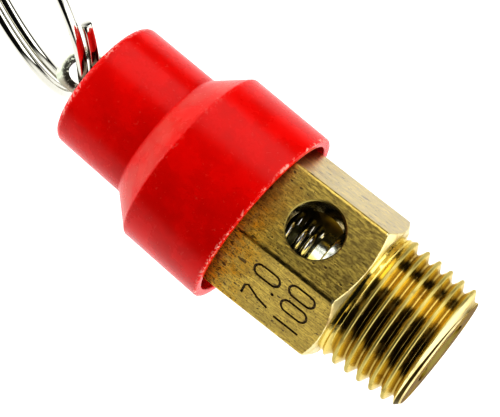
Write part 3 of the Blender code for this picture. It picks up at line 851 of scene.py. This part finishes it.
def threaded_rod(form, crest_height, ends, crest_radius, limit_radius, steps=120, least_radius=None):
    """A right-hand thread cut square at both ends, with a crest at crest_height on the -Y side."""
    low, high = ends
    softness = 0.06 * MM
    pitch = form[-1][0]
    start = crest_height - (math.ceil((crest_height - low) / pitch) + 1.75) * pitch
    count = math.ceil((high - start) / pitch) + 1
    base = crest_radius(0)
    profile = [(base + offset, start + pitch * i + z) for i in range(count) for z, offset in form[:-1]]
    shape = spun_profile(profile, steps, False, rise=pitch / steps, merge=2e-7)
    for vert in shape.verts:
        offset = vert.co.xy.length - base
        wanted = crest_radius(vert.co.z) + offset
        if least_radius:
            wanted = max(wanted, least_radius(vert.co.z))
        radius = soft_minimum(wanted, limit_radius(vert.co.z), softness)
        vert.co.xy *= radius / (base + offset)
    for height, keep_above in ((low, True), (high, False)):
        bmesh.ops.bisect_plane(
            shape,
            geom=shape.verts[:] + shape.edges[:] + shape.faces[:],
            dist=1e-8,
            plane_co=(0, 0, height),
            plane_no=(0, 0, 1),
            clear_inner=keep_above,
            clear_outer=not keep_above,
        )
    open_edges = [edge for edge in shape.edges if edge.is_boundary]
    bmesh.ops.holes_fill(shape, edges=open_edges, sides=0)
    return face_outwards(shape)


def taper_shank(body):
    """The R 1/4 taper thread, running out into the neck and chamfered at its start."""
    gauge_plane = THREAD_END + body.gauge_length

    def crest_radius(height):
        return body.gauge_radius + (height - gauge_plane) * TAPER

    def limit_radius(height):
        neck = body.neck_radius + max(-body.neck_length - height, 0)
        chamfer_top = THREAD_END + body.lead_chamfer
        lead = crest_radius(chamfer_top) + (height - chamfer_top)
        return min(neck, lead)

    def least_radius(height):
        cut = clamp((-body.neck_length - height) / body.run_out)
        return crest_radius(height) - cut * body.thread_depth

    form = thread_form(body.pitch, body.thread_depth, tip_radius=0.137 * body.pitch, half_angle=27.5)
    ends = (THREAD_END, 1 * MM)
    shape = threaded_rod(form, body.first_crest, ends, crest_radius, limit_radius, least_radius=least_radius)
    for face in shape.faces:
        face.material_index = int(face.normal.z < -0.99)
    return shape


def body_bore(body):
    """Tapped bore, chamber round the raised seat, and inlet, as one cutter."""
    above = HEX_TOP + 1 * MM
    below = THREAD_END - 1 * MM
    chamber, tapped = 4.5 * MM, 4.9 * MM
    tapped_end, chamber_start = 15.3 * MM, 14.9 * MM
    floor, seat_top = 1.7 * MM, 2.4 * MM
    seat_foot, seat_rim = 3.5 * MM, 3.15 * MM
    lead_in = 0.3 * MM
    inlet_chamfer = 0.4 * MM
    profile = [
        (0, above),
        (tapped + lead_in, above),
        (tapped + lead_in, HEX_TOP),
        (tapped, HEX_TOP - lead_in),
        (tapped, tapped_end),
        (chamber, chamber_start),
        (chamber, floor),
        (seat_foot, floor),
        (seat_rim, seat_top),
        (body.inlet_radius, seat_top),
        (body.inlet_radius, THREAD_END + inlet_chamfer),
        (body.inlet_radius + inlet_chamfer + 1 * MM, below),
        (0, below),
    ]
    return turned(profile, steps=128, closed=False)


def across_y(half_profile, steps, place):
    """A drill that runs both ways along Y from a place, from the upper half of its profile."""
    profile = half_profile + [(r, -z) for r, z in reversed(half_profile)]
    shape = turned(profile, steps=steps, closed=False)
    turn = Matrix.Translation(place) @ Matrix.Rotation(math.pi / 2, 4, "X")
    bmesh.ops.transform(shape, matrix=turn, verts=shape.verts)
    return shape


def vent_drill(body):
    """The drill through both walls, with the rim on each flat broken by a small chamfer."""
    flat = body.across_flats / 2
    rim = 0.12 * MM
    beyond = 1 * MM
    radius = body.vent_radius
    half = [
        (0, flat + beyond),
        (radius + rim + beyond, flat + beyond),
        (radius + rim, flat),
        (radius, flat - rim),
    ]
    shape = across_y(half, 96, (body.vent_offset, 0, body.vent_height))
    for face in face_outwards(shape).faces:
        face.material_index = int(abs(face.normal.y) > 0.1)
    return shape


def engrave_zero(shape, matrix, width, height, stroke):
    """An upright 0: a ring whose halves are drawn apart."""
    before = set(shape.verts)
    section = Matrix.Translation((width / 2, 0, 0)) @ Matrix.Rotation(math.pi / 2, 4, "X")
    made = bmesh.ops.create_circle(shape, cap_ends=False, segments=8, radius=stroke, matrix=section)["verts"]
    edges = list({edge for vert in made for edge in vert.link_edges})
    spin(shape, made + edges, 32)
    verts = [vert for vert in shape.verts if vert not in before]
    for vert in verts:
        if abs(vert.co.y) > 1e-7:
            vert.co.y += math.copysign((height - width) / 2, vert.co.y)
    bmesh.ops.transform(shape, matrix=matrix @ Matrix.Translation((0, height / 2, 0)), verts=verts)


def engraved_row(shape, text, matrix, height, stroke):
    """Digits and points side by side, centred on the row's middle. The row lies in the matrix's XY plane."""
    half_width = 0.25 * height
    corner = 0.1 * height
    strokes = {
        "1": [(0, height), (0, height / 2), (0, 0)],
        "7": [
            (-half_width, height),
            (0, height),
            (half_width - corner, height),
            (half_width, height - corner),
            (0.02 * height, 0.45 * height),
            (-0.1 * height, 0),
        ],
    }
    steps = [(0.36 if letter == "." else 0.78) * height for letter in text]
    x = -sum(steps) / 2
    for letter, step in zip(text, steps):
        x += step / 2
        here = matrix @ Matrix.Translation((x, 0, 0))
        if letter == "0":
            engrave_zero(shape, here, 2 * half_width, height, stroke)
        elif letter == ".":
            dot = here @ Matrix.Translation((0, 0.06 * height, 0))
            bmesh.ops.create_uvsphere(shape, u_segments=12, v_segments=8, radius=stroke * 1.4, matrix=dot)
        else:
            path = [here @ Vector((right, up, 0)) for right, up in strokes[letter]]
            swept_wire(shape, path, stroke, 8)
        x += step / 2


def engraving(body, marks):
    """Both rows of plain numbers, on the flat to the left of the vent."""
    facing = math.radians(-150)
    outward = Vector((math.cos(facing), math.sin(facing), 0))
    right = UP.cross(outward)
    turn = Matrix((right, UP, outward)).transposed().to_4x4()
    proud = 0.15 * marks.stroke
    shape = bmesh.new()
    for text, base in ((marks.upper, marks.upper_base), (marks.lower, marks.lower_base)):
        middle = outward * (body.across_flats / 2 + proud) + UP * base
        engraved_row(shape, text, Matrix.Translation(middle) @ turn, marks.height, marks.stroke)
    return face_outwards(shape)


class ValveBody(bpy.types.Operator):
    """Model the brass body with its thread, bores, vent and engraved numbers"""

    bl_idname = "relief_valve.body"
    bl_label = "Brass body"

    def execute(self, context):
        valve = context.scene.relief_valve
        body, finish = valve.body, valve.finish
        flats = drawn_brass(finish, valve.cap.mouth_height)
        machined = turned_brass(finish, "machined_brass", 0.38, 0.5, 0.95, 0.6)
        # The vent's rim chamfer, the bore and the thread's end face are darkened brass: painted shade.
        rim = turned_brass(finish, "rim_brass", 0.42, 0.6, 0.45)
        bored = shaded_brass(finish, "bored_brass", 0.6, 0.25)
        faced = shaded_brass(finish, "faced_brass", 0.5, 0.7)
        obj = piece("brass_body", hex_block(body, valve.cap), [flats, machined])
        combine(obj, "UNION", taper_shank(body), [thread_brass(finish, body), faced])
        combine(obj, "DIFFERENCE", body_bore(body), [bored])
        combine(obj, "DIFFERENCE", vent_drill(body), [turned_brass(finish), rim])
        combine(obj, "DIFFERENCE", engraving(body, valve.marks), [dark_engraving()])
        stand_for(obj, "valve_body", "body")
        return {"FINISHED"}


# ---------------------------------------------------------------- cap


class ValveCap(bpy.types.Operator):
    """Model the loose red cap"""

    bl_idname = "relief_valve.cap"
    bl_label = "Red cap"

    def execute(self, context):
        valve = context.scene.relief_valve
        cap = valve.cap
        ceiling = cap.top - 1.2 * MM
        cone_drop = 0.45 * cap.wall
        corners = [
            (cap.hole_radius, cap.top, 0.2 * MM),
            (cap.top_radius, cap.top, cap.top_fillet),
            (cap.neck_radius, cap.neck_bottom, 0.35 * MM),
            (cap.skirt_top_radius, cap.skirt_top, 0.3 * MM),
            (cap.mouth_radius, cap.mouth_height, 0.25 * MM),
            (cap.mouth_radius - cap.wall, cap.mouth_height, 0.15 * MM),
            (cap.skirt_top_radius - cap.wall, cap.skirt_top - cone_drop, 0.3 * MM),
            (cap.neck_radius - cap.wall, cap.neck_bottom - cone_drop, 0.3 * MM),
            (cap.top_radius - cap.wall, ceiling, 0.3 * MM),
            (cap.hole_radius, ceiling, 0.15 * MM),
        ]
        shape = turned([(r, z - CAP_PIVOT.z) for r, z in rounded(corners)], steps=144)
        obj = piece("red_cap", shape, [red_plastic(valve.finish, cap)])
        lean = UP.rotation_difference(CAP_AXIS).to_matrix().to_4x4()
        obj.data.transform(Matrix.Translation(CAP_PIVOT) @ lean)
        stand_for(obj, "cap", "cap")
        return {"FINISHED"}


# ---------------------------------------------------------------- ring and stem


# Arcs round the ring, from the eye towards -Y: the wire's two ends, and the stretch where it crosses over.
FIRST_END = math.radians(34)
CROSSING_LOW = math.radians(76)
CROSSING_HIGH = math.radians(112)
SECOND_END = math.radians(119)


def ring_offset(arc_angle, ring):
    """How far the wire's middle stands off the ring's middle plane, at an arc from the eye towards -Y."""
    crossing_start = CROSSING_HIGH - 2 * math.pi
    crossed = ease((crossing_start - arc_angle) / (CROSSING_HIGH - CROSSING_LOW))
    free = clamp(arc_angle / FIRST_END)
    return ring.spacing / 2 - ring.spacing * crossed + ring.end_spring * (1 - math.cos(free * math.pi / 2))


class PullRing(bpy.types.Operator):
    """Model the split pull ring as one wire of nearly two turns"""

    bl_idname = "relief_valve.ring"
    bl_label = "Pull ring"

    def execute(self, context):
        valve = context.scene.relief_valve
        ring = valve.ring
        points_per_turn = 112
        start = FIRST_END
        end = SECOND_END - 4 * math.pi
        steps = round((start - end) / (2 * math.pi) * points_per_turn)
        centre = Vector((0, 0, ring.mean_radius - ring.seat))
        turn = Matrix.Rotation(valve.stem.turn, 4, "Z") @ Matrix.Rotation(ring.lean, 4, "Y")
        stand = Matrix.Translation(EYE_CENTRE) @ turn
        path = []
        for i in range(steps + 1):
            a = start + (end - start) * i / steps
            spoke = Vector((0, math.sin(a), math.cos(a))) * ring.mean_radius
            path.append(stand @ (centre - spoke + Vector((ring_offset(a, ring), 0, 0))))
        shape = bmesh.new()
        ends = swept_wire(shape, path, ring.wire_radius, 20)
        bmesh.ops.bevel(
            shape,
            geom=[edge for face in ends for edge in face.edges],
            offset=0.1 * MM,
            offset_type="OFFSET",
            segments=3,
            profile=0.5,
            affect="EDGES",
            material=-1,
        )
        chrome = bright_steel("bright_chrome", valve.finish.chrome, 0.06, 0.1)
        obj = piece("pull_ring", face_outwards(shape), [chrome])
        stand_for(obj, "split_ring", "ring")
        return {"FINISHED"}


# The stretch in which the round rod is forged flat.
FORGING_START = 27.9 * MM
FORGING_END = 32.2 * MM


def forged_share(height):
    """How far up the forged stretch a height lies, from 0 at the rod to 1 at the eye."""
    return clamp((height - FORGING_START) / (FORGING_END - FORGING_START))


def stem_section(height, stem):
    """The stem's section at a height: half width, half thickness, offset, squareness, and that height."""
    share = forged_share(height)
    flat = ease(share)
    half_width = stem.radius + (stem.eye_half_width - stem.radius) * flat
    half_thickness = stem.radius + (stem.eye_thickness / 2 - stem.radius) * flat
    over_corner = height - (stem.eye_top - stem.eye_corner)
    if over_corner > 0:
        across = math.sqrt(max(stem.eye_corner**2 - over_corner**2, 0))
        half_width = stem.eye_half_width - stem.eye_corner + across
    rim = 0.3 * MM
    over_rim = height - (stem.eye_top - rim)
    if over_rim > 0:
        half_thickness -= rim - math.sqrt(max(rim**2 - over_rim**2, 0))
    return half_width, half_thickness, stem.eye_offset * share, 2 + 3.5 * flat, height


def stem_loft(stem, washer_low, disc_top):
    """The stem from its riveted foot to the blunt end of the eye, ring by ring."""
    clearance = 0.1 * MM
    rivet_top = washer_low - clearance
    shoulder = disc_top + clearance
    rivet_base = rivet_top - 0.25 * MM
    head_depth = 0.24 * MM
    levels = [(stem.rivet_radius * r, rivet_base + head_depth * z) for r, z in arc((0, 0), 1, -80, 0, 5)]
    levels += [(stem.rivet_radius, rivet_top), (stem.foot_radius, rivet_top)]
    levels += [(stem.foot_radius, shoulder), (stem.radius, shoulder)]
    heights = [10, 14, 18, 22, 25, 27] + [27.9 + 0.43 * i for i in range(11)]
    heights += [32.6, 33.0, 33.3, 33.6] + [33.6 + 1.2 * math.sin(math.radians(9 * i)) for i in range(1, 8)]
    heights += [stem.eye_top / MM - 0.3 + 0.3 * math.sin(math.radians(15 * i)) for i in range(0, 7)]
    shape = bmesh.new()
    made = bmesh.ops.create_circle(shape, cap_ends=True, segments=48, radius=levels[0][0])
    bmesh.ops.translate(shape, verts=made["verts"], vec=(0, 0, levels[0][1]))
    tip = made["verts"][0].link_faces[0]
    sections = [(r, r, 0, 2, z) for r, z in levels[1:]]
    sections += [stem_section(height * MM, stem) for height in heights]
    for half_width, half_thickness, offset, squareness, height in sections:
        tip = extruded(shape, tip)
        for vert in tip.verts:
            middle = stem.eye_offset * forged_share(vert.co.z)
            direction = math.atan2(vert.co.y, vert.co.x - middle)
            c, s = math.cos(direction), math.sin(direction)
            reach = (abs(c) ** squareness + abs(s) ** squareness) ** (-1 / squareness)
            vert.co = (offset + half_width * reach * c, half_thickness * reach * s, height)
    return face_outwards(shape)


def eye_punch(stem):
    """The punch for the eye's hole, with both rims rounded."""
    rim = 0.2 * MM
    side = stem.eye_thickness / 2
    wide = stem.eye_hole + rim
    half = [(0, side + 1 * MM), (wide, side + 1 * MM)] + arc((wide, side - rim), rim, 90, 180, 4)
    return across_y(half, 48, (stem.eye_offset, 0, EYE_CENTRE.z))


class LiftStem(bpy.types.Operator):
    """Model the lift stem with its forged eye"""

    bl_idname = "relief_valve.stem"
    bl_label = "Lift stem"

    def execute(self, context):
        valve = context.scene.relief_valve
        stem = valve.stem
        loft = stem_loft(stem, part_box("seal_washer")[0].z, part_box("valve_disc")[1].z)
        obj = piece("lift_stem_forged", loft, [forged_steel(valve.finish)], 40)
        combine(obj, "DIFFERENCE", eye_punch(stem), [shaded_eye_wall()], 40)
        obj.data.transform(Matrix.Rotation(stem.turn, 4, "Z"))
        stand_for(obj, "lift_stem", "stem")
        return {"FINISHED"}


# ---------------------------------------------------------------- spring, disc and small turned parts


class ReliefSpring(bpy.types.Operator):
    """Model the relief spring, which shortens as the disc lifts"""

    bl_idname = "relief_valve.spring"
    bl_label = "Relief spring"

    def execute(self, context):
        valve = context.scene.relief_valve
        spring = valve.spring
        points_per_turn = 48
        bottom = SPRING_LOW.z + spring.wire_radius
        top = SPRING_HIGH.z - spring.wire_radius
        total = spring.active_turns + 2
        pitch = (top - bottom - 2 * spring.end_pitch) / spring.active_turns
        path = []
        for i in range(total * points_per_turn + 1):
            turn = i / points_per_turn
            ends = min(turn, 1) + max(turn - (total - 1), 0)
            z = bottom + spring.end_pitch * ends + pitch * min(max(turn - 1, 0), spring.active_turns)
            a = spring.start_angle + 2 * math.pi * turn
            path.append(Vector((spring.mean_radius * math.cos(a), spring.mean_radius * math.sin(a), z)))
        shape = bmesh.new()
        swept_wire(shape, path, spring.wire_radius, 16)
        steel = bright_steel("spring_wire", valve.finish.steel, 0.22)
        obj = piece("relief_spring_wire", face_outwards(shape), [steel])
        stand_for(obj, "relief_spring", "body")
        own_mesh(obj)
        return {"FINISHED"}


def ring_part(node, inner, edge):
    """A turned ring between the heights and out to the radius of a CAD node, its outer edges rounded."""
    low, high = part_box(node)
    outer = high.y
    return turned(rounded([(inner, high.z), (outer, high.z, edge), (outer, low.z, edge), (inner, low.z)], 3))


def stepped_disc(foot):
    """The disc: a wide flange, a step that centres the spring, and a narrow collar round the foot."""
    low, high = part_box("valve_disc")
    collar, step = 1.6 * MM, 2.55 * MM
    flange_top = low.z + 0.95 * MM
    step_top = SPRING_LOW.z - 0.1 * MM
    corners = [
        (foot, high.z),
        (collar, high.z, 0.15 * MM),
        (collar, step_top),
        (step, step_top, 0.15 * MM),
        (step, flange_top, 0.12 * MM),
        (high.y, flange_top, 0.2 * MM),
        (high.y, low.z, 0.1 * MM),
        (foot, low.z),
    ]
    return turned(rounded(corners, 3))


class SmallParts(bpy.types.Operator):
    """Model the disc, the seal and the two washers"""

    bl_idname = "relief_valve.small_parts"
    bl_label = "Disc, seal and washers"

    def execute(self, context):
        valve = context.scene.relief_valve
        finish = valve.finish
        foot = valve.stem.foot_radius + 0.1 * MM
        guide = valve.stem.guide_radius
        nickel = bright_steel("nickel_plate", finish.nickel, 0.27, 0.3)
        zinc = bright_steel("washer_zinc", finish.steel, 0.3, 0.3)
        disc = piece("stepped_disc", stepped_disc(foot), [nickel])
        stand_for(disc, "valve_disc", "disc")
        seal = piece("rubber_seal", ring_part("seat_seal", foot, 0.1 * MM), [seal_rubber(finish)])
        stand_for(seal, "seat_seal", "disc")
        washer = piece("rivet_washer", ring_part("seal_washer", foot, 0.08 * MM), [zinc])
        stand_for(washer, "seal_washer", "disc")
        seat = piece("spring_seat_washer", ring_part("spring_washer", guide, 0.1 * MM), [zinc])
        stand_for(seat, "spring_washer", "body")
        return {"FINISHED"}


def threaded_plug(node, guide, brass):
    """A threaded plug with a hole for the stem and a screwdriver slot across its top."""
    low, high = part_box(node)
    radius = high.y
    chamfer = 0.3 * MM
    slot_width, slot_depth = 1.2 * MM, 0.9 * MM

    def limit_radius(height):
        return radius - max(chamfer - (height - low.z), chamfer - (high.z - height), 0)

    form = thread_form(pitch=0.8 * MM, depth=0.45 * MM, tip_radius=0.1 * MM, half_angle=30)
    thread = threaded_rod(form, low.z, (low.z, high.z), lambda height: radius, limit_radius, 96)
    obj = piece(node + "_threaded", thread, [brass])
    above, below = high.z + MM, low.z - MM
    hole = turned([(0, above), (guide, above), (guide, below), (0, below)], 48, False)
    combine(obj, "DIFFERENCE", hole, [brass])
    slot = bmesh.new()
    size = Matrix.Diagonal((3 * radius, slot_width, 2 * slot_depth, 1))
    bmesh.ops.create_cube(slot, size=1, matrix=Matrix.Translation((0, 0, high.z)) @ size)
    combine(obj, "DIFFERENCE", slot, [brass])
    stand_for(obj, node, "body")


class Plugs(bpy.types.Operator):
    """Model the two slotted threaded plugs"""

    bl_idname = "relief_valve.plugs"
    bl_label = "Threaded plugs"

    def execute(self, context):
        valve = context.scene.relief_valve
        brass = turned_brass(valve.finish, "plug_metal", 0.2, 0.3)
        for node in ("adjusting_plug", "locking_plug"):
            threaded_plug(node, valve.stem.guide_radius, brass)
        return {"FINISHED"}


# ---------------------------------------------------------------- stage


CAMERA_PLACE = Vector((-48.17, -199.26, -21.64)) * MM
VIEW_DISTANCE = 205 * MM
AIM_HEIGHT = 12.76 * MM
LIGHT_TARGET = UP * 12 * MM
VIEW_DIRECTION = Vector((0.235, 0.972, 0)).normalized()
ROLL_COSINE = 0.6145
ROLL_SINE = 0.789
FOCAL_IN_FRAMES = 4.56908  # focal length over the frame's width
SENSOR = 36


def camera_matrix():
    """The camera stands low in front, turned so that the valve's axis runs across the frame."""
    level_right = Vector((VIEW_DIRECTION.y, -VIEW_DIRECTION.x, 0))
    tilt = math.atan((AIM_HEIGHT - CAMERA_PLACE.z) / VIEW_DISTANCE)
    aside = -0.00114
    forward = VIEW_DIRECTION * math.cos(tilt) + UP * math.sin(tilt) + level_right * aside
    forward.normalize()
    right = (level_right - forward * level_right.dot(forward)).normalized()
    above = right.cross(forward)
    view_right = right * ROLL_COSINE - above * ROLL_SINE
    view_up = right * ROLL_SINE + above * ROLL_COSINE
    matrix = Matrix((view_right, view_up, -forward)).transposed().to_4x4()
    matrix.translation = CAMERA_PLACE
    return matrix


def light_tent(world, strength):
    """A tent of light that is white behind and to the left of the valve, and dark round the camera."""
    world.use_nodes = True
    tree = world.node_tree
    tree.nodes.clear()
    direction = Field(tree.nodes.new("ShaderNodeTexCoord").outputs["Generated"])
    middle = Matrix.Rotation(math.radians(15), 3, "Z") @ (VIEW_DIRECTION + UP * 0.167).normalized()
    depth = vector_field("DOT_PRODUCT", direction, middle)
    height = split(direction)[2]
    backdrop = smooth_step(depth, 0.05, 0.32) * smooth_step(height, -0.8, -0.35)
    bright = math_field("MAXIMUM", backdrop, smooth_step(height, 0.75, 0.95))
    around = mix_colour(bright, (0.012, 0.012, 0.012), (1, 1, 1))
    lit = add_node("ShaderNodeBackground", {"Color": around, "Strength": strength})
    seen = tree.nodes.new("ShaderNodeBackground")
    feed(seen.inputs["Color"], (1, 1, 1))
    is_camera = Field(tree.nodes.new("ShaderNodeLightPath").outputs["Is Camera Ray"])
    both = add_node("ShaderNodeMixShader", {0: is_camera, 1: lit, 2: Field(seen.outputs[0])})
    feed(tree.nodes.new("ShaderNodeOutputWorld").inputs["Surface"], both)


def softbox(name, side, elevation, distance, size, watts):
    """A soft light that faces the valve, at degrees to the camera's right and degrees up."""
    level = Matrix.Rotation(math.radians(side), 3, "Z") @ -VIEW_DIRECTION
    rise = math.radians(elevation)
    light = bpy.data.lights.new(name, "AREA")
    light.shape = "RECTANGLE"
    light.size, light.size_y = size
    light.energy = watts
    obj = bpy.data.objects.new(name, light)
    obj.location = LIGHT_TARGET + (level * math.cos(rise) + UP * math.sin(rise)) * distance
    obj.rotation_euler = (LIGHT_TARGET - obj.location).to_track_quat("-Z", "Y").to_euler()
    obj.visible_camera = False
    bpy.context.scene.collection.objects.link(obj)
    return obj


class Stage(bpy.types.Operator):
    """Set up the floor, the lights and the camera"""

    bl_idname = "relief_valve.stage"
    bl_label = "Stage"

    def execute(self, context):
        scene = context.scene
        studio = scene.relief_valve.studio
        shape = bmesh.new()
        bmesh.ops.create_circle(shape, cap_ends=True, segments=96, radius=studio.floor_radius)
        bmesh.ops.translate(shape, verts=shape.verts, vec=(0, 0, THREAD_END - studio.floor_drop))
        pale = start_material("pale_floor", studio.floor_colour, 0.6, 0.0)[0]
        floor = piece("floor", shape, [pale])
        if not scene.world:
            scene.world = bpy.data.worlds.new("light_tent")
        light_tent(scene.world, studio.sky_strength)
        softbox("key_light", 58, 15, 0.3, (0.26, 0.4), studio.key_power)
        overhead = softbox("top_light", -20, 62, 0.075, (0.08, 0.06), studio.top_power)
        overhead.visible_glossy = False
        glint = softbox("glint_light", 8, 20, 0.3, (0.16, 0.16), studio.glint_power)
        inner_parts = bpy.data.collections.new("inner_parts")
        glint.light_linking.receiver_collection = inner_parts
        for obj in scene.objects:
            if obj.name in ("relief_spring_wire", "stepped_disc"):
                inner_parts.objects.link(obj)
        softbox("floor_glow", 0, -90, 0.068, (0.14, 0.14), studio.glow_power)
        camera = bpy.data.cameras.new("camera")
        camera.sensor_width = SENSOR
        camera.lens = FOCAL_IN_FRAMES * SENSOR
        camera.clip_start = MM
        stand = bpy.data.objects.new("camera", camera)
        stand.matrix_world = camera_matrix()
        scene.collection.objects.link(stand)
        scene.camera = stand
        scene.view_settings.view_transform = "Standard"
        scene.view_settings.look = "High Contrast"
        return {"FINISHED"}


# ---------------------------------------------------------------- panel and registration


class ReliefValvePanel(bpy.types.Panel):
    """Lists the pieces of the valve"""

    bl_idname = "VIEW3D_PT_relief_valve"
    bl_label = "Pressure relief valve"
    bl_space_type = "VIEW_3D"
    bl_region_type = "UI"
    bl_category = "Relief Valve"

    def draw(self, context):
        for operator in PIECES:
            self.layout.operator(operator.bl_idname)


PIECES = (ValveBody, ValveCap, PullRing, LiftStem, ReliefSpring, SmallParts, Plugs, Stage)
SETTINGS = (
    BodySettings,
    MarkSettings,
    CapSettings,
    RingSettings,
    StemSettings,
    SpringSettings,
    FinishSettings,
    StudioSettings,
    ValveSettings,
)


def register():
    for cls in SETTINGS + PIECES + (ReliefValvePanel,):
        bpy.utils.register_class(cls)
    bpy.types.Scene.relief_valve = PointerProperty(type=ValveSettings)


def unregister():
    del bpy.types.Scene.relief_valve
    for cls in reversed(SETTINGS + PIECES + (ReliefValvePanel,)):
        bpy.utils.unregister_class(cls)


def main():
    register()
    bpy.ops.relief_valve.body()
    bpy.ops.relief_valve.cap()
    bpy.ops.relief_valve.ring()
    bpy.ops.relief_valve.stem()
    bpy.ops.relief_valve.spring()
    bpy.ops.relief_valve.small_parts()
    bpy.ops.relief_valve.plugs()
    bpy.ops.relief_valve.stage()


if __name__ == "__main__":
    main()
